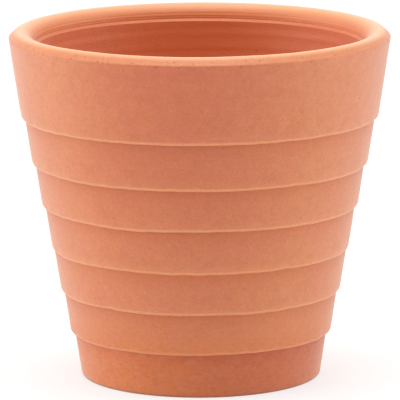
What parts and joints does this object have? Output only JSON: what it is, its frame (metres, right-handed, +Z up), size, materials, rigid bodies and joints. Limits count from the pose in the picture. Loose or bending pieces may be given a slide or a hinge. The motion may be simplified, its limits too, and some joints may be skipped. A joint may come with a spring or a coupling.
{
  "type": "terracotta plant pot",
  "caption": "Tapered round clay plant pot with a tall rim band over stepped bands, a rounded lip, an open top and a drain hole in its floor.",
  "frame": {"origin": "centre of the underside, on the plane that the foot ring stands on", "axes": "+Z up along the axis that the pot is turned about; X and Y are level and interchangeable, because the pot is round"},
  "size_m": [0.2004, 0.2004, 0.184],
  "materials": {
    "fired_clay": "matte, unglazed"
  },
  "bodies": {
    "root": {"pot": "fired_clay"}
  },
  "joints": []
}
